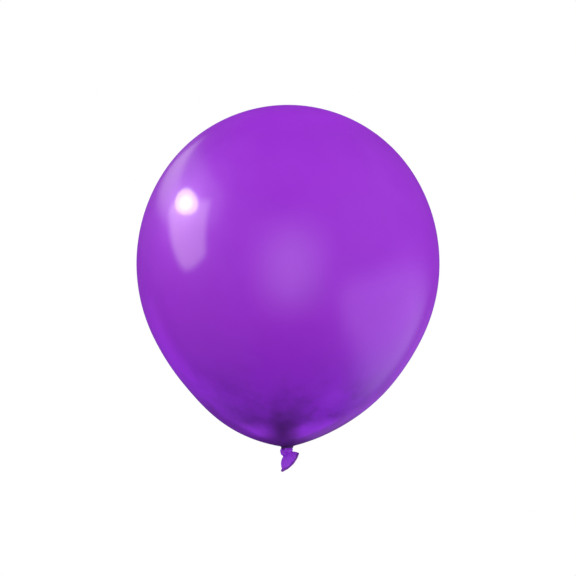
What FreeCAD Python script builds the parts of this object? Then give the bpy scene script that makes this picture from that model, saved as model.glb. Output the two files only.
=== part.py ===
import FreeCAD, Part
import math
import os

import Sketcher

# A tied latex balloon, in millimetres, +Z up from the tie point to the crown, +X to the right
# and +Y away from the reader. The origin is the tie point: the narrow place between the inflated
# body and the knot, on the body's axis of revolution. Everything above it is the inflated film,
# and the knot and the flat tail hang below it.

DIMENSIONS = [
    # The inflated body: four tangent arcs from the crown to the throat. The second, the belly's,
    # is cut in two at the equator, so that the widest circle is an edge of the shell.
    ("body_radius", 150.0),
    ("equator_height", 181.4),
    ("crown_height", 338.85),
    ("belly_arc_radius", 166.1),
    ("flank_top_height", 109.0),
    ("flank_arc_radius", 235.2),
    ("base_top_height", 41.4),
    ("base_arc_radius", 159.9),
    ("throat_radius", 5.9),
    ("throat_fillet_radius", 1.0),
    ("film_wall", 0.5),
    ("throat_plug_height", 2.0),
    # The gathered neck between the body and the knot.
    ("neck_gap", 0.15),
    ("neck_length", 0.7),
    ("neck_end_radius", 5.6),
    ("neck_hollow_radius", 5.2),
    # The overhand knot: one turn of film round the strand that it ties.
    ("knot_offset", 1.4),
    ("knot_drop", 4.7),
    ("knot_lean", 12.0),
    ("turn_outer_radius", 6.2),
    ("turn_inner_radius", 3.1),
    ("turn_width", 5.4),
    ("strand_radius", 2.95),
    ("strand_above", 2.9),
    ("strand_below", 3.2),
    ("strand_end_round", 0.8),
    # The tail: it bends on a line just under the knot.
    ("bend_offset", 0.2),
    ("bend_drop", 9.2),
    ("bend_lean", 25.0),
    ("gather_above", 1.1),
    ("gather_below", 0.75),
    ("gather_top_radius", 1.3),
    ("gather_foot_radius", 1.9),
    # The skirt and its lip are laid out about the centre of the mouth's arc.
    ("mouth_centre_offset", 15.4),
    ("mouth_centre_rise", 0.4),
    ("mouth_turn", 42.4),
    ("mouth_arc_radius", 27.2),
    ("mouth_half_angle", 26.0),
    ("skirt_half_angle", 24.5),
    ("pocket_half_angle", 23.2),
    ("skirt_thickness", 2.0),
    ("skirt_wall", 0.4),
    ("skirt_root_left_reach", 17.7),
    ("skirt_root_left_side", 0.1),
    ("skirt_root_right_reach", 20.1),
    ("skirt_root_right_side", 6.0),
    ("skirt_web", 1.4),
    ("lip_bead", 1.6),
    ("lip_slot", 0.5),
    ("lip_slot_half_angle", 24.0),
    ("lip_skirt_gap", 0.05),
]
D = dict(DIMENSIONS)
ZERO = FreeCAD.Vector(0, 0, 0)
UP = FreeCAD.Vector(0, 0, 1)
ORIGIN_POINT = (-1, 1)
VERTICAL_AXIS = -2
START, END, CENTRE = 1, 2, 3
UPPER_BELLY, LOWER_BELLY, FLANK, BASE = 1, 2, 3, 4

doc = FreeCAD.newDocument("balloon")
sheet = doc.addObject("Spreadsheet::Sheet", "dims")
for row, (alias, value) in enumerate(DIMENSIONS, start=1):
    sheet.set(f"A{row}", alias)
    sheet.set(f"B{row}", str(value))
    sheet.setAlias(f"B{row}", alias)
doc.recompute()


def new_body(name):
    body = doc.addObject("PartDesign::Body", name)
    body.Label = name
    return body


def sketch_on(body, role, name):
    plane = next(item for item in body.Origin.OriginFeatures if item.Role == role)
    sketch = body.newObject("Sketcher::SketchObject", name)
    sketch.AttachmentSupport = [(plane, "")]
    sketch.MapMode = "FlatFace"
    return sketch


def place(obj, x, z, axis_y=0, turn=None):
    """Bind an object's place to the sheet, with a turn about the Y axis or its opposite."""
    if turn:
        obj.Placement = FreeCAD.Placement(ZERO, FreeCAD.Rotation(FreeCAD.Vector(0, axis_y, 0), D[turn]))
        obj.setExpression("Placement.Rotation.Angle", f"dims.{turn} * 1 deg")
    obj.setExpression("Placement.Base.x", x)
    obj.setExpression("Placement.Base.z", z)


def arc(centre, radius, start, end):
    """An arc that runs anticlockwise from start to end, both in radians."""
    circle = Part.Circle(FreeCAD.Vector(*centre, 0), UP, radius)
    return Part.ArcOfCircle(circle, start, end)


def line(start, end):
    return Part.LineSegment(FreeCAD.Vector(*start, 0), FreeCAD.Vector(*end, 0))


def value_of(expression):
    return float(sheet.evalExpression(expression.replace("dims.", "")))


def drive(sketch, expression, kind, *where):
    """Add a dimension whose value comes from the sheet."""
    index = sketch.addConstraint(Sketcher.Constraint(kind, *where, value_of(expression)))
    sketch.setExpression(f"Constraints[{index}]", expression)


def join(sketch, first, first_end, second, second_end, kind="Coincident"):
    sketch.addConstraint(Sketcher.Constraint(kind, first, first_end, second, second_end))


def revolve(body, sketch, name, kind="PartDesign::Revolution"):
    """Turn a sketch about its own vertical axis."""
    feature = body.newObject(kind, name)
    feature.Profile = sketch
    feature.ReferenceAxis = (sketch, ["V_Axis"])
    return feature


def body_arcs(inset):
    """Centre, radius and end angles of the body's arcs, from the crown down, inset from the skin:
    crown, upper belly, lower belly, flank and base."""
    belly_centre = (D["body_radius"] - D["belly_arc_radius"], D["equator_height"])
    crown_reach = D["crown_height"] - D["equator_height"]
    crown_radius = (D["belly_arc_radius"] ** 2 - belly_centre[0] ** 2 - crown_reach ** 2) \
        / (2 * (D["belly_arc_radius"] - crown_reach))
    crown_centre = (0.0, D["crown_height"] - crown_radius)
    shoulder = math.atan2(crown_centre[1] - belly_centre[1], -belly_centre[0])
    centre, radius, top = belly_centre, D["belly_arc_radius"], 0.0
    arcs = [(crown_centre, crown_radius - inset, shoulder, math.pi / 2),
            (centre, radius - inset, top, shoulder)]
    lower = [("flank_top_height", "flank_arc_radius"), ("base_top_height", "base_arc_radius")]
    for height, next_radius in lower:
        bottom = math.asin((D[height] - centre[1]) / radius)
        arcs.append((centre, radius - inset, bottom, top))
        step = radius - D[next_radius]
        centre = (centre[0] + step * math.cos(bottom), centre[1] + step * math.sin(bottom))
        radius, top = D[next_radius], bottom
    arcs.append((centre, radius - inset, None, top))
    return arcs


def make_envelope():
    """The inflated film: a thin sealed shell of revolution, closed by a small plug of gathered
    film at the throat."""
    body = new_body("envelope")
    sketch = sketch_on(body, "XZ_Plane", "film_profile")
    outer = body_arcs(0.0)
    inner = body_arcs(D["film_wall"])

    fillet = D["throat_fillet_radius"]
    fillet_x = D["throat_radius"] + fillet
    base_centre, base_radius, _, base_top = outer[BASE]
    spread = base_radius + fillet
    across = fillet_x - base_centre[0]
    fillet_centre = (fillet_x, base_centre[1] - math.sqrt(spread ** 2 - across ** 2))
    throat = math.atan2(fillet_centre[1] - base_centre[1], across)
    outer[BASE] = (base_centre, base_radius, throat, base_top)
    fillet_end = math.pi - math.asin(-fillet_centre[1] / fillet)
    fillet_arc = arc(fillet_centre, fillet, throat + math.pi, fillet_end)

    plug = D["throat_plug_height"]
    inner_centre, inner_radius, _, inner_top = inner[BASE]
    plug_angle = math.asin((plug - inner_centre[1]) / inner_radius)
    inner[BASE] = (inner_centre, inner_radius, plug_angle, inner_top)
    plug_x = inner_centre[0] + inner_radius * math.cos(plug_angle)
    inner_crown = D["crown_height"] - D["film_wall"]

    skin = [sketch.addGeometry(arc(*piece)) for piece in outer]
    bend = sketch.addGeometry(fillet_arc)
    foot_x = fillet_centre[0] + fillet * math.cos(fillet_end)
    foot = sketch.addGeometry(line((foot_x, 0), (0, 0)))
    plug_axis = sketch.addGeometry(line((0, 0), (0, plug)))
    plug_top = sketch.addGeometry(line((0, plug), (plug_x, plug)))
    lining = [sketch.addGeometry(arc(*piece)) for piece in inner]
    crown_cut = sketch.addGeometry(line((0, inner_crown), (0, D["crown_height"])))

    for chain in (skin, lining):
        sketch.addConstraint(Sketcher.Constraint("PointOnObject", chain[0], END, VERTICAL_AXIS))
        for upper, under in zip(chain, chain[1:]):
            kind = "Coincident" if upper == chain[UPPER_BELLY] else "Tangent"
            join(sketch, upper, START, under, END, kind)
        drive(sketch, "dims.equator_height", "DistanceY",
              *ORIGIN_POINT, chain[UPPER_BELLY], START)
    for outside, inside in zip(skin, lining):
        join(sketch, outside, CENTRE, inside, CENTRE)
    sketch.addConstraint(Sketcher.Constraint("PointOnObject", skin[0], CENTRE, VERTICAL_AXIS))
    join(sketch, skin[UPPER_BELLY], CENTRE, skin[LOWER_BELLY], CENTRE)
    join(sketch, skin[BASE], START, bend, START, "Tangent")
    join(sketch, bend, END, foot, START)
    join(sketch, foot, END, *ORIGIN_POINT)
    sketch.addConstraint(Sketcher.Constraint("Horizontal", foot))
    join(sketch, plug_axis, START, *ORIGIN_POINT)
    sketch.addConstraint(Sketcher.Constraint("Vertical", plug_axis))
    join(sketch, plug_axis, END, plug_top, START)
    sketch.addConstraint(Sketcher.Constraint("Horizontal", plug_top))
    join(sketch, plug_top, END, lining[BASE], START)
    join(sketch, crown_cut, START, lining[0], END)
    join(sketch, crown_cut, END, skin[0], END)

    drive(sketch, "dims.crown_height", "DistanceY", *ORIGIN_POINT, skin[0], END)
    drive(sketch, "dims.film_wall", "DistanceY", lining[0], END, skin[0], END)
    drive(sketch, "dims.equator_height", "DistanceY", *ORIGIN_POINT, skin[UPPER_BELLY], CENTRE)
    drive(sketch, "dims.body_radius", "DistanceX", *ORIGIN_POINT, skin[UPPER_BELLY], START)
    drive(sketch, "dims.belly_arc_radius", "Radius", skin[UPPER_BELLY])
    drive(sketch, "dims.flank_top_height", "DistanceY", *ORIGIN_POINT, skin[LOWER_BELLY], START)
    drive(sketch, "dims.flank_arc_radius", "Radius", skin[FLANK])
    drive(sketch, "dims.base_top_height", "DistanceY", *ORIGIN_POINT, skin[FLANK], START)
    drive(sketch, "dims.base_arc_radius", "Radius", skin[BASE])
    drive(sketch, "dims.throat_fillet_radius", "Radius", bend)
    drive(sketch, "dims.throat_radius + dims.throat_fillet_radius", "DistanceX",
          *ORIGIN_POINT, bend, CENTRE)
    drive(sketch, "dims.throat_plug_height", "DistanceY", plug_axis, START, plug_axis, END)
    revolve(body, sketch, "film")
    return body


def make_neck():
    """The gathered film between the body and the knot, drawn in a little at its middle."""
    body = new_body("neck")
    sketch = sketch_on(body, "XZ_Plane", "neck_profile")
    top = -D["neck_gap"]
    bottom = top - D["neck_length"]
    end = D["neck_end_radius"]
    hollow = D["neck_hollow_radius"]
    middle = (top + bottom) / 2
    side_arc = Part.Arc(FreeCAD.Vector(end, top, 0), FreeCAD.Vector(hollow, middle, 0),
                        FreeCAD.Vector(end, bottom, 0))
    roof = sketch.addGeometry(line((0, top), (end, top)))
    side = sketch.addGeometry(side_arc)
    floor = sketch.addGeometry(line((end, bottom), (0, bottom)))
    axis = sketch.addGeometry(line((0, bottom), (0, top)))
    join(sketch, roof, END, side, START)
    join(sketch, side, END, floor, START)
    join(sketch, floor, END, axis, START)
    join(sketch, axis, END, roof, START)
    sketch.addConstraint(Sketcher.Constraint("Horizontal", roof))
    sketch.addConstraint(Sketcher.Constraint("Horizontal", floor))
    sketch.addConstraint(Sketcher.Constraint("PointOnObject", axis, START, VERTICAL_AXIS))
    sketch.addConstraint(Sketcher.Constraint("PointOnObject", axis, END, VERTICAL_AXIS))
    drive(sketch, "dims.neck_gap", "DistanceY", roof, START, *ORIGIN_POINT)
    drive(sketch, "dims.neck_length", "DistanceY", floor, END, roof, START)
    drive(sketch, "dims.neck_end_radius", "DistanceX", roof, START, roof, END)
    drive(sketch, "dims.neck_end_radius", "DistanceX", floor, END, floor, START)
    depth = "(dims.neck_end_radius - dims.neck_hollow_radius)"
    drive(sketch, f"({depth} ^ 2 + (dims.neck_length / 2) ^ 2) / (2 * {depth})", "Radius", side)
    revolve(body, sketch, "gathered_film")
    return body


def make_knot_turn():
    """The turn of the overhand knot: a thick round-edged band that leans to one side."""
    body = new_body("knot_turn")
    sketch = sketch_on(body, "XZ_Plane", "turn_section")
    inner = D["turn_inner_radius"]
    outer = D["turn_outer_radius"]
    round_radius = (outer - inner) / 2
    middle = (inner + outer) / 2
    rise = D["turn_width"] / 2 - round_radius
    top = sketch.addGeometry(arc((middle, rise), round_radius, 0, math.pi))
    inside = sketch.addGeometry(line((inner, rise), (inner, -rise)))
    bottom = sketch.addGeometry(arc((middle, -rise), round_radius, math.pi, 2 * math.pi))
    outside = sketch.addGeometry(line((outer, -rise), (outer, rise)))
    join(sketch, top, END, inside, START, "Tangent")
    join(sketch, inside, END, bottom, START, "Tangent")
    join(sketch, bottom, END, outside, START, "Tangent")
    join(sketch, outside, END, top, START, "Tangent")
    sketch.addConstraint(Sketcher.Constraint("Vertical", inside))
    sketch.addConstraint(Sketcher.Constraint("Vertical", outside))
    drive(sketch, "(dims.turn_outer_radius - dims.turn_inner_radius) / 2", "Radius", top)
    drive(sketch, "dims.turn_inner_radius", "DistanceX", *ORIGIN_POINT, inside, START)
    reach = "(dims.turn_width - dims.turn_outer_radius + dims.turn_inner_radius)"
    drive(sketch, f"{reach} / 2", "DistanceY", *ORIGIN_POINT, top, CENTRE)
    drive(sketch, reach, "DistanceY", bottom, CENTRE, top, CENTRE)
    revolve(body, sketch, "turn_of_film")
    place(body, "-dims.knot_offset", "-dims.knot_drop", -1, "knot_lean")
    return body


def make_knot_strand():
    """The strand that the turn ties: film bunched to a plug, through the middle of the turn."""
    body = new_body("knot_strand")
    sketch = sketch_on(body, "XY_Plane", "strand_section")
    circle = sketch.addGeometry(Part.Circle(ZERO, UP, D["strand_radius"]))
    join(sketch, circle, CENTRE, *ORIGIN_POINT)
    drive(sketch, "dims.strand_radius", "Radius", circle)
    sketch.setExpression("AttachmentOffset.Base.z", "-dims.strand_below")
    pad = body.newObject("PartDesign::Pad", "strand")
    pad.Profile = sketch
    pad.setExpression("Length", "dims.strand_above + dims.strand_below")
    doc.recompute()
    rims = [f"Edge{index}" for index, edge in enumerate(pad.Shape.Edges, start=1)
            if isinstance(edge.Curve, Part.Circle)]
    fillet = body.newObject("PartDesign::Fillet", "strand_ends")
    fillet.Base = (pad, rims)
    fillet.setExpression("Radius", "dims.strand_end_round")
    place(body, "-dims.knot_offset", "-dims.knot_drop", -1, "knot_lean")
    return body


def make_tail_gather():
    """The few pleats between the knot and the skirt, where the tail bends."""
    cone = doc.addObject("Part::Cone", "tail_gather")
    cone.Label = "tail_gather"
    cone.setExpression("Radius1", "dims.gather_foot_radius")
    cone.setExpression("Radius2", "dims.gather_top_radius")
    cone.setExpression("Height", "dims.gather_above + dims.gather_below")
    lean = "dims.bend_lean * 1 deg"
    place(cone, f"dims.bend_offset + dims.gather_below * sin({lean})",
          f"-dims.bend_drop - dims.gather_below * cos({lean})", -1, "bend_lean")
    return cone


def fan(sketch, left_root, right_root, half_angle, mouth_radius):
    """Draw a fan whose two sides open from a straight root to the arc of the mouth. Every
    argument is an expression, and a root corner is a pair of them."""
    left_point, right_point = [tuple(value_of(each) for each in pair) for pair in (left_root, right_root)]
    radius = value_of(mouth_radius)
    half = math.radians(value_of(half_angle))
    right_end = (radius * math.cos(half), radius * math.sin(half))
    left_end = (right_end[0], -right_end[1])
    root = sketch.addGeometry(line(left_point, right_point))
    right = sketch.addGeometry(line(right_point, right_end))
    mouth = sketch.addGeometry(arc((0, 0), radius, -half, half))
    left = sketch.addGeometry(line(left_end, left_point))
    join(sketch, root, END, right, START)
    join(sketch, right, END, mouth, END)
    join(sketch, mouth, START, left, START)
    join(sketch, left, END, root, START)
    join(sketch, mouth, CENTRE, *ORIGIN_POINT)
    drive(sketch, mouth_radius, "Radius", mouth)
    half_mouth = f"({mouth_radius}) * sin({half_angle} * 1 deg)"
    drive(sketch, half_mouth, "DistanceY", *ORIGIN_POINT, mouth, END)
    drive(sketch, half_mouth, "DistanceY", mouth, START, *ORIGIN_POINT)
    for point, (reach, side) in ((START, left_root), (END, right_root)):
        drive(sketch, reach, "DistanceX", *ORIGIN_POINT, root, point)
        drive(sketch, side, "DistanceY", *ORIGIN_POINT, root, point)


def make_tail_skirt():
    """The flattened end of the filling neck: two walls with a thin pocket between them that is
    open at the mouth."""
    body = new_body("tail_skirt")
    edge = "dims.mouth_arc_radius - dims.lip_bead - dims.lip_skirt_gap"
    left_root = ("dims.skirt_root_left_reach", "dims.skirt_root_left_side")
    right_root = ("dims.skirt_root_right_reach", "dims.skirt_root_right_side")
    outline = sketch_on(body, "XZ_Plane", "skirt_outline")
    fan(outline, left_root, right_root, "dims.skirt_half_angle", edge)
    pad = body.newObject("PartDesign::Pad", "flattened_film")
    pad.Profile = outline
    pad.SideType = "Symmetric"
    pad.setExpression("Length", "dims.skirt_thickness")

    pocket_outline = sketch_on(body, "XZ_Plane", "pocket_outline")
    inset = [(f"{reach} + dims.skirt_web", side) for reach, side in (left_root, right_root)]
    fan(pocket_outline, *inset, "dims.pocket_half_angle", "dims.mouth_arc_radius")
    pocket = body.newObject("PartDesign::Pocket", "pocket")
    pocket.Profile = pocket_outline
    pocket.SideType = "Symmetric"
    pocket.setExpression("Length", "dims.skirt_thickness - 2 * dims.skirt_wall")
    place(body, "-dims.mouth_centre_offset", "dims.mouth_centre_rise", 1, "mouth_turn")
    return body


def make_rolled_lip():
    """The bead rolled round the mouth. It is pressed flat, so it is two beads side by side that
    meet at the mouth's ends, with a slot between them."""
    body = new_body("rolled_lip")
    bead = D["lip_bead"]
    radius = D["mouth_arc_radius"] - bead / 2
    offset = (bead + D["lip_slot"]) / 2
    section = sketch_on(body, "XY_Plane", "bead_section")
    back = section.addGeometry(arc((radius, offset), bead / 2, 0, math.pi))
    inside = section.addGeometry(line((radius - bead / 2, offset), (radius - bead / 2, -offset)))
    front = section.addGeometry(arc((radius, -offset), bead / 2, math.pi, 2 * math.pi))
    outside = section.addGeometry(line((radius + bead / 2, -offset), (radius + bead / 2, offset)))
    join(section, back, END, inside, START, "Tangent")
    join(section, inside, END, front, START, "Tangent")
    join(section, front, END, outside, START, "Tangent")
    join(section, outside, END, back, START, "Tangent")
    section.addConstraint(Sketcher.Constraint("Vertical", inside))
    section.addConstraint(Sketcher.Constraint("Vertical", outside))
    drive(section, "dims.lip_bead / 2", "Radius", back)
    drive(section, "dims.mouth_arc_radius", "DistanceX", *ORIGIN_POINT, outside, START)
    drive(section, "(dims.lip_bead + dims.lip_slot) / 2", "DistanceY", *ORIGIN_POINT, back, CENTRE)
    drive(section, "dims.lip_bead + dims.lip_slot", "DistanceY", front, CENTRE, back, CENTRE)
    lip = revolve(body, section, "bead")
    lip.Midplane = True
    lip.setExpression("Angle", "2 * dims.mouth_half_angle")

    slot_section = sketch_on(body, "XY_Plane", "slot_section")
    near = radius - bead
    far = radius + bead
    half_slot = D["lip_slot"] / 2
    corners = [(near, -half_slot), (far, -half_slot), (far, half_slot), (near, half_slot)]
    edges = [slot_section.addGeometry(line(corner, corners[(index + 1) % len(corners)]))
             for index, corner in enumerate(corners)]
    for index, edge in enumerate(edges):
        join(slot_section, edge, END, edges[(index + 1) % len(edges)], START)
        slot_section.addConstraint(Sketcher.Constraint(("Horizontal", "Vertical")[index % 2], edge))
    drive(slot_section, "dims.mouth_arc_radius - 1.5 * dims.lip_bead", "DistanceX",
          *ORIGIN_POINT, edges[0], START)
    drive(slot_section, "2 * dims.lip_bead", "DistanceX", edges[0], START, edges[0], END)
    drive(slot_section, "dims.lip_slot / 2", "DistanceY", edges[0], START, *ORIGIN_POINT)
    drive(slot_section, "dims.lip_slot", "DistanceY", edges[1], START, edges[1], END)
    slot = revolve(body, slot_section, "slot", "PartDesign::Groove")
    slot.Midplane = True
    slot.setExpression("Angle", "2 * dims.lip_slot_half_angle")
    place(body, "-dims.mouth_centre_offset", "dims.mouth_centre_rise", 1, "mouth_turn")
    return body


parts = [make_envelope(), make_neck(), make_knot_turn(), make_knot_strand(),
         make_tail_gather(), make_tail_skirt(), make_rolled_lip()]
doc.recompute()

for obj in doc.Objects:
    if "Invalid" in obj.State or "Error" in obj.State:
        raise RuntimeError(f"{obj.Name} did not recompute: {obj.State}")
    if obj.TypeId == "Sketcher::SketchObject" and obj.solve() != 0:
        raise RuntimeError(f"{obj.Name} has constraints that can't all hold")
for part in parts:
    if part.Shape.isNull() or not part.Shape.isValid() or len(part.Shape.Solids) != 1:
        raise RuntimeError(f"{part.Label} is not one valid solid")

os.makedirs("parts", exist_ok=True)
for part in parts:
    part.Shape.exportStep(f"parts/{part.Label}.step")
    box = part.Shape.BoundBox
    print(f"{part.Label}: {part.Shape.Volume:.1f} mm3, x {box.XMin:.2f} to {box.XMax:.2f},"
          f" y {box.YMin:.2f} to {box.YMax:.2f}, z {box.ZMin:.2f} to {box.ZMax:.2f}")
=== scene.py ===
import math

import bpy
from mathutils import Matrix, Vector, noise


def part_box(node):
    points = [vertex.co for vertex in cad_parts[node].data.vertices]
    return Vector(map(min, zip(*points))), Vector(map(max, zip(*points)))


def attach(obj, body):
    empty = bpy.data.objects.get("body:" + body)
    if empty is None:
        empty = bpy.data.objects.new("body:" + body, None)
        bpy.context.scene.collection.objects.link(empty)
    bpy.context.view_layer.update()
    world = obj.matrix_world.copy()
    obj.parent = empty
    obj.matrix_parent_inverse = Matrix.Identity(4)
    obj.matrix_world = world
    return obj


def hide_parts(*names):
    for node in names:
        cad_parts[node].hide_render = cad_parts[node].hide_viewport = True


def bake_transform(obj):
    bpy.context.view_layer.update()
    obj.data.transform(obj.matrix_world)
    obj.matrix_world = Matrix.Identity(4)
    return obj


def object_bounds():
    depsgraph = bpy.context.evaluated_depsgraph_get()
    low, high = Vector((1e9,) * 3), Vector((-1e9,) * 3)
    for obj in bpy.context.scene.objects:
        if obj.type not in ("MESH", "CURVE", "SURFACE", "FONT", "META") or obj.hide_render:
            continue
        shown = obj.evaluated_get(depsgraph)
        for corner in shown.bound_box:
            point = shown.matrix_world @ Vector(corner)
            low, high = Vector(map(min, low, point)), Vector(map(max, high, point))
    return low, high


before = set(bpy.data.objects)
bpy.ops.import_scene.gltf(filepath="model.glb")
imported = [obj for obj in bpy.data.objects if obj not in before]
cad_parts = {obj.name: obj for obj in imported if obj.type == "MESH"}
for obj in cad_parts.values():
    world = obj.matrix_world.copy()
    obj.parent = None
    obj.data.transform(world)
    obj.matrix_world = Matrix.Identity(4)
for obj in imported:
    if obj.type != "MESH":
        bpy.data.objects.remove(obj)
cad_low, cad_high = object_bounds()

# A tied latex balloon in pearl purple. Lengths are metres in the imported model's frame: the origin
# is the tie point, +Z runs up to the crown, +X to the right and +Y away from the camera.

MM = 0.001
UP = Vector((0, 0, 1))

# The inflated body: the four tangent arcs of the envelope's profile. LOWER_ARCS gives the height
# at which the flank and then the base take over, and their radii.
SKIN_LOW, SKIN_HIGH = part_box("envelope")
BODY_RADIUS = (SKIN_HIGH.x - SKIN_LOW.x) / 2
CROWN_HEIGHT = SKIN_HIGH.z
EQUATOR_HEIGHT = 181.4 * MM
BELLY_ARC_RADIUS = 166.1 * MM
LOWER_ARCS = [(109.0 * MM, 235.2 * MM), (41.4 * MM, 159.9 * MM)]
THROAT_RADIUS = 5.9 * MM
THROAT_FILLET = 1.6 * MM
TURN_IN = 0.8 * MM
TURN_IN_END = math.radians(-80)
BODY_STEP = 3.2 * MM
THROAT_STEP = 0.45 * MM
THROAT_ZONE = 20 * MM
SEGMENTS_AROUND = 192
PLEAT_DEPTH = 0.42 * MM
PLEAT_REACH = 26 * MM
PLEAT_FADE = 2.4
PLEAT_MIDDLE = 0.6
SAG_HEIGHT = 62 * MM
SAG_SLOPE = 0.04
NECK_SHIFT = -0.9 * MM
CROWN_DROP = 0.45 * MM
CROWN_DROP_START = 0.7 * CROWN_HEIGHT


def smooth(low, high, value):
    """0 at low, 1 at high, and a smooth step between them."""
    share = min(max((value - low) / (high - low), 0.0), 1.0)
    return share * share * (3 - 2 * share)


def mix(a, b, share):
    """a where share is 0, b where it is 1, and evenly between."""
    return a + (b - a) * share


def new_mesh(name, points, faces):
    """An object in the scene with a smooth shaded mesh."""
    mesh = bpy.data.meshes.new(name)
    mesh.from_pydata([tuple(point) for point in points], [], faces)
    mesh.validate()
    mesh.shade_smooth()
    obj = bpy.data.objects.new(name, mesh)
    bpy.context.scene.collection.objects.link(obj)
    return obj


def tube_faces(rings, around, closed=False):
    """Quads between successive rings of points. closed joins the last ring to the first."""
    faces = []
    for ring in range(rings if closed else rings - 1):
        here, there = ring * around, (ring + 1) % rings * around
        for index in range(around):
            after = (index + 1) % around
            faces.append((here + index, here + after, there + after, there + index))
    return faces


def fan_faces(centre, ring_start, around, flip=False):
    """Triangles that close a ring onto one point."""
    faces = [(centre, ring_start + index, ring_start + (index + 1) % around)
             for index in range(around)]
    return [face[::-1] for face in faces] if flip else faces


# ---- The inflated skin ------------------------------------------------------------------------

def arc_rows(centre, radius, start, end, step):
    """(radius, height, normal across, normal up) along an arc that runs down from start to end."""
    count = max(2, round(abs(start - end) * radius / step))
    rows = []
    for index in range(1, count + 1):
        angle = mix(start, end, index / count)
        across, up = math.cos(angle), math.sin(angle)
        rows.append((centre[0] + radius * across, centre[1] + radius * up, across, up))
    return rows


def skin_rows():
    """The profile from just under the crown's tip to the throat, and in round its foot."""
    belly = (BODY_RADIUS - BELLY_ARC_RADIUS, EQUATOR_HEIGHT)
    reach = CROWN_HEIGHT - EQUATOR_HEIGHT
    tangency = BELLY_ARC_RADIUS ** 2 - belly[0] ** 2 - reach ** 2
    crown_radius = tangency / (2 * (BELLY_ARC_RADIUS - reach))
    crown = (0.0, CROWN_HEIGHT - crown_radius)
    shoulder = math.atan2(crown[1] - belly[1], -belly[0])
    rows = arc_rows(crown, crown_radius, math.pi / 2, shoulder, BODY_STEP)
    centre, radius, top = belly, BELLY_ARC_RADIUS, shoulder
    for height, next_radius in LOWER_ARCS:
        bottom = math.asin((height - centre[1]) / radius)
        rows += arc_rows(centre, radius, top, bottom, BODY_STEP)
        step = radius - next_radius
        centre = (centre[0] + step * math.cos(bottom), centre[1] + step * math.sin(bottom))
        radius, top = next_radius, bottom
    zone = math.asin((THROAT_ZONE - centre[1]) / radius)
    rows += arc_rows(centre, radius, top, zone, BODY_STEP)
    across = THROAT_RADIUS + THROAT_FILLET - centre[0]
    drop = math.sqrt((radius + THROAT_FILLET) ** 2 - across ** 2)
    throat = math.atan2(-drop, across)
    rows += arc_rows(centre, radius, zone, throat, THROAT_STEP)
    fillet = (THROAT_RADIUS + THROAT_FILLET, centre[1] - drop)
    for row in arc_rows(fillet, THROAT_FILLET, throat + math.pi, math.pi, THROAT_STEP / 2):
        rows.append((row[0], row[1], -row[2], -row[3]))
    turned_in = (THROAT_RADIUS - TURN_IN, fillet[1])
    rows += arc_rows(turned_in, TURN_IN, 0.0, TURN_IN_END, THROAT_STEP / 2)
    return rows


def pleat(angle):
    """The gathers round the throat, from -1 in a fold to 1 on a ridge, the same on skin and neck."""
    return (0.50 * math.cos(13 * angle + 0.9 * math.sin(2 * angle))
            + 0.32 * math.cos(21 * angle + 1.1)
            + 0.18 * math.cos(34 * angle + 2.0))


def settle(point):
    """The body isn't quite a solid of revolution: its foot leans, the throat sits off the axis and
    the crown is a little flatter."""
    share = 1 - smooth(0, SAG_HEIGHT, point.z)
    drop = CROWN_DROP * smooth(CROWN_DROP_START, CROWN_HEIGHT, point.z)
    return point + Vector((NECK_SHIFT * share ** 2, 0, SAG_SLOPE * point.x * share - drop))


def make_skin():
    """The skin as rings of points under a tip, with the pleats only below the equator."""
    rows = skin_rows()
    points = [settle(Vector((0, 0, CROWN_HEIGHT)))]
    for radius, height, across, up in rows:
        depth = 0.0
        if height < EQUATOR_HEIGHT:
            reach = max(radius - THROAT_RADIUS, 0) / PLEAT_REACH
            depth = PLEAT_DEPTH * max(0.0, 1 - reach) ** PLEAT_FADE
        for index in range(SEGMENTS_AROUND):
            angle = 2 * math.pi * index / SEGMENTS_AROUND
            out = Vector((math.cos(angle), math.sin(angle), 0))
            place = out * radius + UP * height
            place += (out * across + UP * up) * depth * (pleat(angle) - PLEAT_MIDDLE)
            points.append(settle(place))
    faces = [tuple(index + 1 for index in face)
             for face in tube_faces(len(rows), SEGMENTS_AROUND)]
    faces = [face[::-1] for face in faces] + fan_faces(0, 1, SEGMENTS_AROUND)
    return new_mesh("balloon_skin", points, faces)


# ---- The neck between the skin and the knot ---------------------------------------------------

NECK_TOP = 0.5 * MM
NECK_FOOT = -2.6 * MM
NECK_TOP_RADIUS = 5.7 * MM
NECK_WAIST_RADIUS = 5.25 * MM
NECK_FOOT_RADIUS = 4.8 * MM
NECK_ROWS = 18
NECK_TWIST = 0.25
NECK_PLEAT_DEPTH = PLEAT_DEPTH * 0.9
NECK_PLEAT_MIDDLE = 0.4


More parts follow.
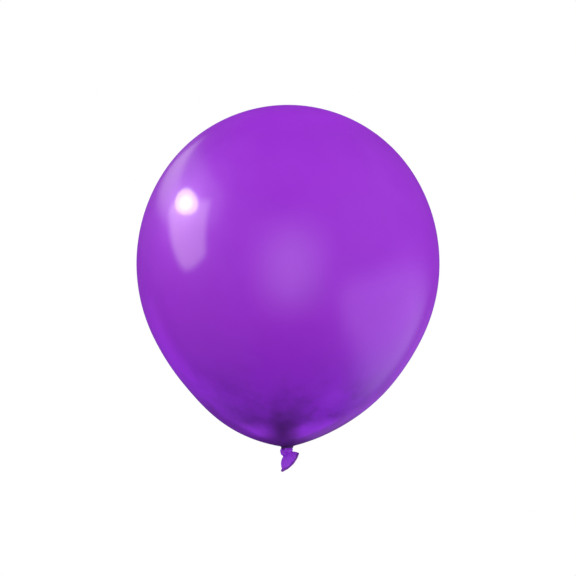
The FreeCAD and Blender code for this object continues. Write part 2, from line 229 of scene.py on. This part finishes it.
def make_neck():
    """A closed, waisted plug of gathered film whose pleats go on from the skin's."""
    points = []
    for row in range(NECK_ROWS):
        share = row / (NECK_ROWS - 1)
        height = mix(NECK_TOP, NECK_FOOT, share)
        radius = mix(NECK_TOP_RADIUS, NECK_FOOT_RADIUS, share ** 1.6)
        radius -= (NECK_TOP_RADIUS - NECK_WAIST_RADIUS) * math.sin(math.pi * share)
        twist = NECK_TWIST * share
        for index in range(SEGMENTS_AROUND):
            angle = 2 * math.pi * index / SEGMENTS_AROUND
            reach = radius + NECK_PLEAT_DEPTH * (pleat(angle + twist) - NECK_PLEAT_MIDDLE)
            across = NECK_SHIFT + reach * math.cos(angle)
            points.append(Vector((across, reach * math.sin(angle), height)))
    top, foot = len(points), len(points) + 1
    points += [Vector((NECK_SHIFT, 0, NECK_TOP)), Vector((NECK_SHIFT, 0, NECK_FOOT))]
    faces = [face[::-1] for face in tube_faces(NECK_ROWS, SEGMENTS_AROUND)]
    faces += fan_faces(top, 0, SEGMENTS_AROUND)
    faces += fan_faces(foot, (NECK_ROWS - 1) * SEGMENTS_AROUND, SEGMENTS_AROUND, flip=True)
    return new_mesh("neck_pleats", points, faces)


# ---- The knot ---------------------------------------------------------------------------------

KNOT_CENTRE = Vector((-1.4, 0, -3.95)) * MM
KNOT_LEAN = math.radians(12)
KNOT_ACROSS = Vector((math.cos(KNOT_LEAN), 0, math.sin(KNOT_LEAN)))
KNOT_UP = Vector((-math.sin(KNOT_LEAN), 0, math.cos(KNOT_LEAN)))
KNOT_VOXEL = 0.17 * MM
# The turn: the angles it runs between in degrees, its reach from the knot's middle and its half
# width at the tucked ends and along the rest, how far it climbs and sinks, and its half height at
# the ends, on the right and on the left, all in millimetres.
TURN_START, TURN_END = -150, 275
TURN_REACH = (1.4, 4.4)
TURN_HALF_WIDTH = (1.5, 2.0)
TURN_HEIGHT = (0.75, -0.55)
TURN_END_HALF_HEIGHT = 1.5
TURN_HALF_HEIGHT = (2.3, 3.85)
TURN_CREASE = 0.17 * MM
# The strand: its half width and half depth in millimetres at its top and at its foot, where it is
# flattened into the tail.
STRAND_TOP = Vector((-0.9, 0, -0.35)) * MM
STRAND_FOOT = Vector((-0.4, 0, -8.8)) * MM
STRAND_HALF_WIDTH = (5.0, 4.1)
STRAND_HALF_DEPTH = (4.9, 3.0)
STRAND_FLATTENED = 0.4
STRAND_WAIST = 0.08
STRAND_CREASE = 0.22 * MM
CRUMPLE_SIZE = 1.5 * MM
CRUMPLE_DEPTH = 0.09 * MM


def sweep(centres, sections, around, ridge):
    """A closed tube through the centres. Each section is (side, half width, up, half height), and
    ridge(along, angle) gives how far the surface stands out."""
    points = []
    last = len(centres) - 1
    for place, (centre, (side, half_width, up, half_height)) in enumerate(zip(centres, sections)):
        for index in range(around):
            angle = 2 * math.pi * index / around
            out = ridge(place / last, angle)
            points.append(centre + side * math.cos(angle) * (half_width + out)
                          + up * math.sin(angle) * (half_height + out))
    start, end = len(points), len(points) + 1
    points += [centres[0], centres[-1]]
    faces = tube_faces(len(centres), around)
    faces += fan_faces(start, 0, around, flip=True)
    faces += fan_faces(end, last * around, around)
    return points, faces


def knot_turn():
    """The strand's turn round itself: it comes out of the middle, goes once and a bit round, and
    crosses over its own beginning before it tucks under."""
    rows, around = 150, 56
    centres, sections = [], []
    for row in range(rows):
        share = row / (rows - 1)
        angle = math.radians(mix(TURN_START, TURN_END, share))
        tuck = min(smooth(0, 0.16, share), 1 - smooth(0.86, 1, share))
        reach = mix(*TURN_REACH, tuck) * MM
        out = KNOT_ACROSS * math.cos(angle) + Vector((0, 1, 0)) * math.sin(angle)
        height = mix(*TURN_HEIGHT, smooth(0.05, 0.95, share)) * MM
        centres.append(KNOT_CENTRE + out * reach + KNOT_UP * height)
        half_width = mix(*TURN_HALF_WIDTH, tuck) * MM
        leftness = (1 - math.cos(angle)) / 2
        half_height = mix(TURN_END_HALF_HEIGHT, mix(*TURN_HALF_HEIGHT, leftness), tuck) * MM
        sections.append((out, half_width, KNOT_UP, half_height))

    def ridge(along, angle):
        fold = 0.6 * math.cos(7 * angle + 5 * along) + 0.4 * math.cos(12 * angle - 8 * along + 1)
        return TURN_CREASE * fold

    return sweep(centres, sections, around, ridge)


def knot_strand():
    """The bunched film through the middle of the turn, from the neck to the root of the tail."""
    rows, around = 40, 72
    centres, sections = [], []
    for row in range(rows):
        share = row / (rows - 1)
        centres.append(STRAND_TOP.lerp(STRAND_FOOT, share))
        waist = 1 - STRAND_WAIST * math.sin(math.pi * share)
        flattened = mix(1, STRAND_FLATTENED, smooth(0.65, 1, share))
        half_width = mix(*STRAND_HALF_WIDTH, share) * waist * MM
        half_depth = mix(*STRAND_HALF_DEPTH, share) * waist * flattened * MM
        sections.append((Vector((1, 0, 0)), half_width, Vector((0, 1, 0)), half_depth))

    def ridge(along, angle):
        return STRAND_CREASE * pleat(angle + 0.7 * along)

    points, faces = sweep(centres, sections, around, ridge)
    return points, [face[::-1] for face in faces]


def make_knot():
    """The turn and the strand, fused into one crumpled skin."""
    points, faces = [], []
    for some_points, some_faces in (knot_turn(), knot_strand()):
        shift = len(points)
        points += some_points
        faces += [tuple(index + shift for index in face) for face in some_faces]
    knot = new_mesh("knot", points, faces)
    remesh = knot.modifiers.new("fuse", "REMESH")
    remesh.mode = "VOXEL"
    remesh.voxel_size = KNOT_VOXEL
    relax = knot.modifiers.new("relax", "SMOOTH")
    relax.iterations = 2
    relax.factor = 0.5
    graph = bpy.context.evaluated_depsgraph_get()
    fused = bpy.data.meshes.new_from_object(knot.evaluated_get(graph))
    knot.modifiers.clear()
    knot.data = fused
    for vertex in fused.vertices:
        crumple = noise.fractal(vertex.co / CRUMPLE_SIZE, 1.0, 2.0, 3)
        vertex.co += vertex.normal * CRUMPLE_DEPTH * crumple
    fused.shade_smooth()
    return knot


# ---- The tail ---------------------------------------------------------------------------------

# The mouth is an arc of a circle, and each side edge a curve with these control points (x, z) in
# millimetres from the root to the arc's end.
MOUTH_CENTRE = Vector((-12.9, 0, -1.1)) * MM
MOUTH_RADIUS = 23.5 * MM
MOUTH_TURN = math.radians(-43.2)
MOUTH_HALF_ANGLE = math.radians(28.8)
LEFT_EDGE = [(-3.4, -7.0), (-4.4, -9.6), (-9.0, -13.5), (-6.8, -20.0)]
RIGHT_EDGE = [(3.0, -4.0), (5.0, -5.3), (9.0, -4.7), (10.1, -5.6)]
ROOT_HALF_THICKNESS = 2.7 * MM
MOUTH_HALF_THICKNESS = 1.15 * MM
ROOT_CREASE = 0.42 * MM
MOUTH_CREASE = 0.10 * MM
INSET_SPAN = 9 * MM
THINNEST = 0.04 * MM
BEAD_RADIUS = 0.85 * MM
FILM = 0.32 * MM
SKIRT_AROUND = 144
SKIRT_ROWS = 44
POCKET_START = 0.42


def mouth_point(angle):
    """A point on the mouth's arc, at an angle from the arc's middle."""
    turned = MOUTH_TURN + angle
    return MOUTH_CENTRE + Vector((math.cos(turned), 0, math.sin(turned))) * MOUTH_RADIUS


def bezier(points, share):
    """A point on the Bezier curve of any number of control points."""
    while len(points) > 1:
        points = [a.lerp(b, share) for a, b in zip(points, points[1:])]
    return points[0]


def edge_point(controls, end, share):
    """A point on a side edge of the tail, whose control points are in millimetres."""
    return bezier([Vector((x, 0, z)) * MM for x, z in controls] + [end], share)


def skirt_centre(down, across):
    """A point of the flat tail, down from 0 at its root to 1 at its mouth and across from -1 on the
    left to 1 on the right."""
    left_end, right_end = mouth_point(-MOUTH_HALF_ANGLE), mouth_point(MOUTH_HALF_ANGLE)
    left = edge_point(LEFT_EDGE, left_end, down)
    right = edge_point(RIGHT_EDGE, right_end, down)
    share = (across + 1) / 2
    arc = mouth_point(mix(-MOUTH_HALF_ANGLE, MOUTH_HALF_ANGLE, share))
    bulge = arc - left_end.lerp(right_end, share)
    return left.lerp(right, share) + bulge * down ** 2


def skirt_point(down, angle, inset=0.0):
    """A point on the skirt's wall; angle goes round the flattened tube, and inset is the depth
    inside the outer face."""
    across = math.cos(angle)
    thickness = mix(ROOT_HALF_THICKNESS, MOUTH_HALF_THICKNESS, smooth(0, 0.6, down))
    fold = math.cos(9 * across * math.pi + 1.3) * 0.55 + math.cos(15 * across * math.pi + 0.4) * 0.45
    ripple = ROOT_CREASE * fold * (1 - smooth(0.1, 0.95, down)) + MOUTH_CREASE * fold * down
    wave = (0.75 * math.sin(2.3 * across + 0.5) + 0.3 * math.sin(6.1 * across)) * MM * down ** 1.5
    side = 1 if math.sin(angle) >= 0 else -1
    wall = thickness * abs(math.sin(angle)) ** 0.8
    wall += ripple * abs(math.sin(angle)) - inset
    place = skirt_centre(down, across * (1 - inset / INSET_SPAN))
    place.y = side * max(wall, THINNEST) + wave
    return place


def make_skirt():
    """Two walls from the root to the mouth, and back in along the pocket's inside."""
    outer = [index / (SKIRT_ROWS - 1) for index in range(SKIRT_ROWS)]
    inner = [down for down in outer[::-1] if down > POCKET_START]
    points = []
    for depth, rows in ((0.0, outer), (FILM, inner)):
        for down in rows:
            for index in range(SKIRT_AROUND):
                points.append(skirt_point(down, 2 * math.pi * index / SKIRT_AROUND, depth))
    rings = len(outer) + len(inner)
    root, pocket = len(points), len(points) + 1
    points += [skirt_centre(0, 0), skirt_centre(POCKET_START, 0)]
    faces = tube_faces(rings, SKIRT_AROUND)
    faces += fan_faces(root, 0, SKIRT_AROUND, flip=True)
    faces += fan_faces(pocket, (rings - 1) * SKIRT_AROUND, SKIRT_AROUND)
    return new_mesh("tail_skirt_film", points, faces)


def make_lip():
    """The rolled bead round the mouth, fuller at both corners."""
    along, around = 220, 18
    centres = [skirt_point(1.0, 2 * math.pi * index / along) for index in range(along)]
    points = []
    for index, centre in enumerate(centres):
        forward = (centres[(index + 1) % along] - centres[index - 1]).normalized()
        outward = centre - MOUTH_CENTRE
        outward = (outward - forward * outward.dot(forward)).normalized()
        side = forward.cross(outward)
        turn = 2 * math.pi * index / along
        girth = 1 + 0.05 * math.cos(9 * turn + 0.5) + 0.04 * math.cos(23 * turn)
        girth += 0.75 * max(-math.cos(turn), 0) ** 3 + 0.3 * max(math.cos(turn), 0) ** 4
        for step in range(around):
            angle = 2 * math.pi * step / around
            spoke = outward * math.cos(angle) + side * math.sin(angle)
            points.append(centre + spoke * BEAD_RADIUS * girth)
    return new_mesh("mouth_bead", points, tube_faces(along, around, closed=True))


# ---- Materials --------------------------------------------------------------------------------

class Nodes:
    """A small helper that adds nodes to a tree and joins them."""

    def __init__(self, tree):
        self.tree = tree
        tree.nodes.clear()

    def add(self, kind, inputs=None, **settings):
        """A new node. An input that is a socket is linked, and any other is set."""
        node = self.tree.nodes.new(kind)
        for name, value in settings.items():
            setattr(node, name, value)
        for key, value in (inputs or {}).items():
            if isinstance(value, bpy.types.NodeSocket):
                self.tree.links.new(value, node.inputs[key])
            else:
                node.inputs[key].default_value = value
        return node

    def math(self, operation, *values):
        return self.add("ShaderNodeMath", dict(enumerate(values)), operation=operation).outputs[0]

    def dot(self, a, b):
        inputs = {0: a, 1: tuple(b)}
        return self.add("ShaderNodeVectorMath", inputs, operation="DOT_PRODUCT").outputs["Value"]

    def vector(self, operation, *values, **inputs):
        inputs.update(enumerate(values))
        return self.add("ShaderNodeVectorMath", inputs, operation=operation).outputs["Vector"]

    def step(self, value, low, high, low_to=0.0, high_to=1.0):
        """Smooth step of a value from low to high."""
        inputs = {"Value": value, "From Min": low, "From Max": high, "To Min": low_to, "To Max": high_to}
        return self.add("ShaderNodeMapRange", inputs, interpolation_type="SMOOTHSTEP").outputs["Result"]

    def noise(self, vector, scale, detail=2.0, roughness=0.5, distortion=0.0):
        inputs = {"Vector": vector, "Scale": scale, "Detail": detail, "Roughness": roughness,
                  "Distortion": distortion}
        return self.add("ShaderNodeTexNoise", inputs).outputs["Fac"]

    def colour(self, share, first, second):
        """The first colour where share is 0, and the second where it is 1."""
        node = self.add("ShaderNodeMix", data_type="RGBA")
        for number, value in ((0, share), (6, first), (7, second)):
            socket = node.inputs[number]
            if isinstance(value, bpy.types.NodeSocket):
                self.tree.links.new(value, socket)
            else:
                socket.default_value = (*value, 1) if isinstance(value, tuple) else value
        return node.outputs[2]


LIGHT_PURPLE = (0.375, 0.015, 0.77)
DEEP_PURPLE = (0.335, 0.013, 0.71)
# Painted shade: the lower body's purple is darker because less light reaches the underside.
UNDERSIDE_SHADE_PURPLE = (0.275, 0.011, 0.72)
# The dark purple of thicker film at the crown's tip, used as well for the painted shade low on the skin.
THICK_FILM_AND_SHADE_PURPLE = (0.062, 0.005, 0.14)
GATHERED_PURPLE = (0.050, 0.004, 0.115)
SLACK_PURPLES = (0.355, 0.014, 0.85), (0.31, 0.012, 0.76)
BEAD_PURPLES = (0.22, 0.022, 0.46), (0.16, 0.014, 0.36)
NECK_PURPLES = (0.080, 0.007, 0.18), (0.15, 0.012, 0.33)

# The shader of every piece: a little metal for the pearl, a soft film and a smoother coat on it.
METALLIC = 0.10
ROUGHNESS_LOW, ROUGHNESS_HIGH = 0.41, 0.50
FILM_IOR = 1.5
COAT_IOR = 1.7
COAT_ROUGHNESS = 0.10
BUMP_DISTANCE = 0.2 * MM
GRAIN_SHARE = 0.25
# How fine each noise is, in cells per metre.
GRAIN_SCALE = 2600.0
UNEVEN_SCALE = 140.0
WEAR_SCALE = 30.0
CLOUD_SCALE = 14.0
STREAK_SCALE = 50.0
# The size of the patches of painted shade low on the skin.
SHADE_PATCH_SCALE = 36.0
SLACK_GLOSS_SCALE = 300.0
# Where the film turns away: Layer Weight's facing value at the start and the end of the loss of
# gloss, and the share of the gloss that is left.
TURNED_START, TURNED_END = 0.55, 0.9
TURNED_GLOSS = 0.4

# The skin's zones of colour, with painted shade low on the body: heights and lengths in metres, and how
# dark each gets at most.
CLOUD_SHARE = 0.35
# The heights where the painted shade of the underside starts and where it is full.
UNDERSIDE_SHADE_START, UNDERSIDE_SHADE_END = 0.14, 0.02
# A dark zone up from the throat: partly the thicker latex near the neck, mostly painted shade under the
# body. Its tongues reach higher on the left, where the shade is deeper.
THROAT_DARK_START, THROAT_DARK_END = 0.062, 0.012
THROAT_DARKNESS = 0.92
THROAT_SLOPE = 0.2
STREAK_LENGTH = 0.030
TONGUES_AROUND = 5.0
TONGUE_LENGTH = 0.015
# Patches of painted shade over the lower body, between these heights.
SHADE_PATCH_START, SHADE_PATCH_END = 0.10, 0.02
SHADE_PATCH_DARKNESS = 0.4
TIP_START, TIP_END = CROWN_HEIGHT - 0.0016, CROWN_HEIGHT + 0.0006
TIP_DARKNESS = 0.22
GATHERS_START, GATHERS_END = 0.011, 0.002
GATHERS_DARKNESS = 0.75
# The gloss of the skin by height, and of slack film.
THROAT_GLOSS_END, THROAT_GLOSS_START = 0.004, 0.014
CROWN_GLOSS_START, CROWN_GLOSS_END = 0.302, 0.326
DULL = 0.1
SLACK_GLOSS_LOW, SLACK_GLOSS_HIGH = 0.28, 0.45


def latex(name, coat, colours, bump):
    """Pearl latex. coat(nodes, position) gives the gloss, colours(nodes, position) the base colour
    and bump the height's scale. The gloss is weaker where the film turns away, so that the bright
    panels behind it don't burn out its edge."""
    material = bpy.data.materials.new(name)
    material.use_nodes = True
    nodes = Nodes(material.node_tree)
    place = nodes.add("ShaderNodeTexCoord").outputs["Object"]
    base = colours(nodes, place)
    fine = nodes.noise(place, GRAIN_SCALE, 2.0, 0.6)
    broad = nodes.noise(place, UNEVEN_SCALE, 3.0, 0.5)
    height = nodes.math("ADD", nodes.math("MULTIPLY", fine, GRAIN_SHARE), broad)
    bumps = {"Strength": bump, "Distance": BUMP_DISTANCE, "Height": height}
    normal = nodes.add("ShaderNodeBump", bumps).outputs[0]
    wear = nodes.noise(place, WEAR_SCALE, 4.0, 0.6)
    rough = nodes.step(wear, 0.3, 0.7, ROUGHNESS_LOW, ROUGHNESS_HIGH)
    facing = nodes.add("ShaderNodeLayerWeight").outputs["Facing"]
    turned = nodes.step(facing, TURNED_START, TURNED_END, 1.0, TURNED_GLOSS)
    gloss = nodes.math("MULTIPLY", turned, coat(nodes, place))
    shader = nodes.add("ShaderNodeBsdfPrincipled", {
        "Base Color": base, "Metallic": METALLIC, "Roughness": rough, "Normal": normal,
        "IOR": FILM_IOR, "Coat Weight": gloss, "Coat Roughness": COAT_ROUGHNESS,
        "Coat IOR": COAT_IOR})
    nodes.add("ShaderNodeOutputMaterial", {"Surface": shader.outputs[0]})
    return material


def skin_colours(nodes, place):
    """Stretched film: light where it is thin, with a faint cloudiness in the pearl, and deeper at the
    crown's thicker tip. Low on the body it carries painted shade: darker on its lower part, in
    patches lower down, and in a dark zone up from the throat that is partly the thicker latex
    there and mostly painted shade, in tongues that reach higher on the left."""
    xyz = nodes.add("ShaderNodeSeparateXYZ", {0: place}).outputs
    height = xyz["Z"]
    cloud = nodes.step(nodes.noise(place, CLOUD_SCALE, 3.0, 0.55, 0.4), 0.35, 0.65)
    cloud = nodes.math("MULTIPLY", cloud, CLOUD_SHARE)
    upper = nodes.colour(cloud, LIGHT_PURPLE, DEEP_PURPLE)
    # Painted shade: below 14 cm the skin darkens towards the lower purple, where less light falls on the
    # underside.
    underside_shade = nodes.step(height, UNDERSIDE_SHADE_END, UNDERSIDE_SHADE_START, 1.0, 0.0)
    lower = nodes.colour(underside_shade, upper, UNDERSIDE_SHADE_PURPLE)
    # Painted shade, partly thicker latex: a dark zone up from the throat in tongues, higher on the left.
    round_axis = nodes.math("ARCTAN2", xyz["X"], nodes.math("MULTIPLY", xyz["Y"], -1.0))
    wave = nodes.math("COSINE", nodes.math("MULTIPLY", round_axis, TONGUES_AROUND))
    tongue = nodes.step(wave, 0.1, 1.0, 0.0, TONGUE_LENGTH)
    streak = nodes.noise(place, STREAK_SCALE, 3.0, 0.6)
    edge = nodes.math("ADD", height, nodes.math("MULTIPLY", streak, STREAK_LENGTH))
    edge = nodes.math("ADD", edge, nodes.math("MULTIPLY", xyz["X"], THROAT_SLOPE))
    edge = nodes.math("SUBTRACT", edge, tongue)
    throat = nodes.step(edge, THROAT_DARK_END, THROAT_DARK_START, THROAT_DARKNESS, 0.0)
    # Painted shade in patches between 2 cm and 10 cm up.
    shade_patches = nodes.step(nodes.noise(place, SHADE_PATCH_SCALE, 3.0, 0.6), 0.40, 0.62)
    shade_patch_zone = nodes.step(height, SHADE_PATCH_END, SHADE_PATCH_START, SHADE_PATCH_DARKNESS, 0.0)
    shade_patches = nodes.math("MULTIPLY", shade_patches, shade_patch_zone)
    tip = nodes.step(height, TIP_START, TIP_END, 0.0, TIP_DARKNESS)
    # The thicker film at the tip and the painted shade lower down, whichever is darker.
    thick_film_and_shade = nodes.math("MAXIMUM", nodes.math("MAXIMUM", throat, shade_patches), tip)
    film = nodes.colour(thick_film_and_shade, lower, THICK_FILM_AND_SHADE_PURPLE)
    gathers = nodes.step(height, GATHERS_END, GATHERS_START, GATHERS_DARKNESS, 0.0)
    return nodes.colour(gathers, film, GATHERED_PURPLE)


def skin_gloss(nodes, place):
    """Full gloss on the stretched film, next to none on the gathers at the throat, and little on
    the thicker film over the crown."""
    height = nodes.add("ShaderNodeSeparateXYZ", {0: place}).outputs["Z"]
    throat = nodes.step(height, THROAT_GLOSS_END, THROAT_GLOSS_START, DULL, 1.0)
    crown = nodes.step(height, CROWN_GLOSS_START, CROWN_GLOSS_END, 1.0, DULL)
    return nodes.math("MULTIPLY", throat, crown)


def slack_gloss(nodes, place):
    """Slack film is duller, and unevenly so."""
    cloud = nodes.noise(place, SLACK_GLOSS_SCALE, 2.0, 0.5)
    return nodes.step(cloud, 0.3, 0.7, SLACK_GLOSS_LOW, SLACK_GLOSS_HIGH)


def mottled(purples, scale, detail):
    """A colours function for film that isn't stretched: two purples in clouds."""
    def colours(nodes, place):
        cloud = nodes.step(nodes.noise(place, scale, detail, 0.6), 0.3, 0.7)
        return nodes.colour(cloud, *purples)

    return colours


# ---- Studio -----------------------------------------------------------------------------------

# The soft panels that only the film's reflections show: the azimuth and elevation of their corners
# in degrees, anticlockwise as the balloon sees them, with azimuth 0 towards the camera and 90 on
# the right, then the softness of the edges, the strength and the colour.
WHITE = (1.0, 1.0, 1.0)
WARM = (1.0, 0.95, 0.70)
VIOLET = (0.42, 0.05, 1.0)
LILAC = (0.70, 0.28, 1.0)
PALE_LILAC = (1.0, 0.80, 1.35)
PANELS = [
    # The window, the strip beside it and the glow over both.
    ([(-64, 5), (-74, 35), (-116, 22), (-86, -3), (-76, -3)], 0.06, 1.85, WARM),
    ([(-110, 16), (-110, 29), (-158, 28), (-160, 14)], 0.06, 0.62, WARM),
    ([(-58, 20), (-62, 46), (-100, 50), (-145, 36), (-168, 20), (-172, 15), (-112, 21)],
     0.10, 0.31, WHITE),
    # In front, and on the right.
    ([(22, -26), (22, 22), (-18, 20), (-18, -26)], 0.36, 0.8, WHITE),
    ([(152, -40), (142, -11), (100, 2), (40, -12), (44, -42), (92, -52)], 0.21, 0.55, PALE_LILAC),
    # Violet light from behind along both lower edges.
    ([(-128, -48), (-134, -10), (-174, -10), (-174, -46)], 0.16, 0.70, VIOLET),
    ([(176, -38), (176, -6), (152, -6), (152, -34)], 0.14, 0.50, LILAC),
    # Small violet ones far down: behind on the left, behind on the right, and on the right.
    ([(-152, -62), (-156, -40), (-170, -36), (-170, -56)], 0.10, 1.6, VIOLET),
    ([(172, -60), (174, -38), (156, -36), (152, -60)], 0.10, 1.8, VIOLET),
    ([(130, -66), (128, -54), (102, -54), (98, -66)], 0.16, 1.2, VIOLET),
]
# The rest of what the film mirrors: its own colour in the room round it, darker below. The change
# runs between two values of the ray's upward part.
MIRRORED_HIGH = (0.16, 0.035, 0.30)
MIRRORED_LOW = (0.05, 0.01, 0.10)
MIRRORED_CHANGE = (-0.5, 0.15)
# What lights the film from all round: an even glow, and soft ones from above, from in front on the
# left and from each side. Each is the way it comes from, the cosines at its edge and at its full
# strength, and that strength.
EVEN_GLOW = 0.10
GLOWS = [((0, 0, 1), -0.6, 0.8, 0.46), ((-0.45, -0.89, 0), 0.2, 1.0, 0.28),
         ((-1, 0, 0), -0.2, 1.0, 0.76), ((1, 0, 0), -0.2, 1.0, 1.05)]

# The lamp in the window and its softer surround: width and height in metres, and power in watts.
LAMP_TARGET = Vector((0, 0, 0.17))
LAMP_DIRECTION = (-96, 29)
LAMP_DISTANCE = 2.0
LAMPS = [("lamp_halo", 0.96, 0.40, 4.3), ("lamp_core", 0.54, 0.24, 5.6)]


def direction(azimuth, elevation):
    """The unit vector towards an azimuth and elevation in degrees."""
    azimuth, elevation = math.radians(azimuth), math.radians(elevation)
    flat = math.cos(elevation)
    return Vector((math.sin(azimuth) * flat, -math.cos(azimuth) * flat, math.sin(elevation)))


def make_world():
    """White to the camera, the glows to diffuse rays and the panels to reflections."""
    world = bpy.data.worlds.new("studio")
    bpy.context.scene.world = world
    world.use_nodes = True
    world.cycles.sampling_method = "NONE"
    nodes = Nodes(world.node_tree)
    ray = nodes.add("ShaderNodeTexCoord").outputs["Generated"]
    rise = nodes.step(nodes.dot(ray, UP), *MIRRORED_CHANGE)
    mirrored = nodes.colour(rise, MIRRORED_LOW, MIRRORED_HIGH)
    for corners, softness, strength, colour in PANELS:
        shape = strength
        corners = [direction(*corner) for corner in corners]
        for first, second in zip(corners, corners[1:] + corners[:1]):
            inward = first.cross(second).normalized()
            edge = nodes.step(nodes.dot(ray, inward), -softness, softness)
            shape = nodes.math("MULTIPLY", edge, shape)
        panel = nodes.vector("SCALE", colour, Scale=shape)
        mirrored = nodes.vector("ADD", panel, mirrored)
    level = EVEN_GLOW
    for ahead, start, full, strength in GLOWS:
        glow = nodes.step(nodes.dot(ray, ahead), start, full, 0.0, strength)
        level = nodes.math("ADD", glow, level)
    path = nodes.add("ShaderNodeLightPath").outputs
    lit = nodes.colour(path["Is Glossy Ray"], level, mirrored)
    seen = nodes.colour(path["Is Camera Ray"], lit, WHITE)
    studio = nodes.add("ShaderNodeBackground", {"Color": seen, "Strength": 1.0})
    nodes.add("ShaderNodeOutputWorld", {"Surface": studio.outputs[0]})


def make_lamp(name, width, height, power):
    """An oval area light that only shows as a highlight in the gloss."""
    data = bpy.data.lights.new(name, "AREA")
    data.shape = "ELLIPSE"
    data.size, data.size_y, data.energy = width, height, power
    light = bpy.data.objects.new(name, data)
    bpy.context.scene.collection.objects.link(light)
    light.location = LAMP_TARGET + direction(*LAMP_DIRECTION) * LAMP_DISTANCE
    light.rotation_euler = (LAMP_TARGET - light.location).to_track_quat("-Z", "Y").to_euler()
    light.visible_camera = False
    light.visible_diffuse = False


FLOOR_DROP = 0.62
FLOOR_RADIUS = 3.0
FLOOR_SEGMENTS = 96
FLOOR_GREYS = (0.80, 0.80, 0.80), (0.84, 0.84, 0.84)


def make_floor():
    """A plain pale disc well below the hanging balloon."""
    height = cad_low.z - FLOOR_DROP
    points = [Vector((0, 0, height))]
    for index in range(FLOOR_SEGMENTS):
        angle = 2 * math.pi * index / FLOOR_SEGMENTS
        points.append(Vector((FLOOR_RADIUS * math.cos(angle), FLOOR_RADIUS * math.sin(angle), height)))
    floor = new_mesh("floor", points, fan_faces(0, 1, FLOOR_SEGMENTS))
    material = bpy.data.materials.new("floor")
    material.use_nodes = True
    nodes = Nodes(material.node_tree)
    cloud = nodes.noise(nodes.add("ShaderNodeTexCoord").outputs["Object"], 3.0)
    base = nodes.colour(cloud, *FLOOR_GREYS)
    shader = nodes.add("ShaderNodeBsdfPrincipled", {"Base Color": base, "Roughness": 0.9})
    nodes.add("ShaderNodeOutputMaterial", {"Surface": shader.outputs[0]})
    floor.data.materials.append(material)
    floor.visible_glossy = False
    floor.visible_diffuse = False


CAMERA_DISTANCE = 3.0
VIEW_HALF_WIDTH = 0.2853
VIEW_CENTRE_HEIGHT = 0.1572


def make_camera():
    """A level camera in front of the balloon."""
    data = bpy.data.cameras.new("camera")
    data.sensor_width = 36.0
    data.lens = data.sensor_width / 2 * CAMERA_DISTANCE / VIEW_HALF_WIDTH
    data.clip_start, data.clip_end = 0.1, 50.0
    camera = bpy.data.objects.new("camera", data)
    bpy.context.scene.collection.objects.link(camera)
    camera.location = (0, -CAMERA_DISTANCE, VIEW_CENTRE_HEIGHT)
    camera.rotation_euler = (math.pi / 2, 0, 0)
    bpy.context.scene.camera = camera


bpy.context.scene.view_settings.view_transform = "Standard"
make_camera()
make_world()
make_floor()
for lamp in LAMPS:
    make_lamp(*lamp)

skin = make_skin()
neck = make_neck()
knot = make_knot()
skirt = make_skirt()
lip = make_lip()

# Gathered and rolled film is many layers thick, so the neck and the bead are darker than the knot
# and the skirt.
stretched = latex("stretched_film", skin_gloss, skin_colours, bump=0.03)
gathered = latex("gathered_film", slack_gloss, mottled(NECK_PURPLES, scale=500.0, detail=2.0), bump=0.10)
slack = latex("slack_film", slack_gloss, mottled(SLACK_PURPLES, scale=260.0, detail=3.0), bump=0.15)
rolled = latex("bead_film", slack_gloss, mottled(BEAD_PURPLES, scale=420.0, detail=2.0), bump=0.12)
films = {skin: stretched, neck: gathered, knot: slack, skirt: slack, lip: rolled}
for piece, film in films.items():
    piece.data.materials.append(film)

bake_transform(skin)
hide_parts("envelope")
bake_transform(neck)
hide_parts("neck")
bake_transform(knot)
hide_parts("knot_turn", "knot_strand", "tail_gather")
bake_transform(skirt)
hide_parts("tail_skirt")
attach(lip, "tail")
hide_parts("rolled_lip")
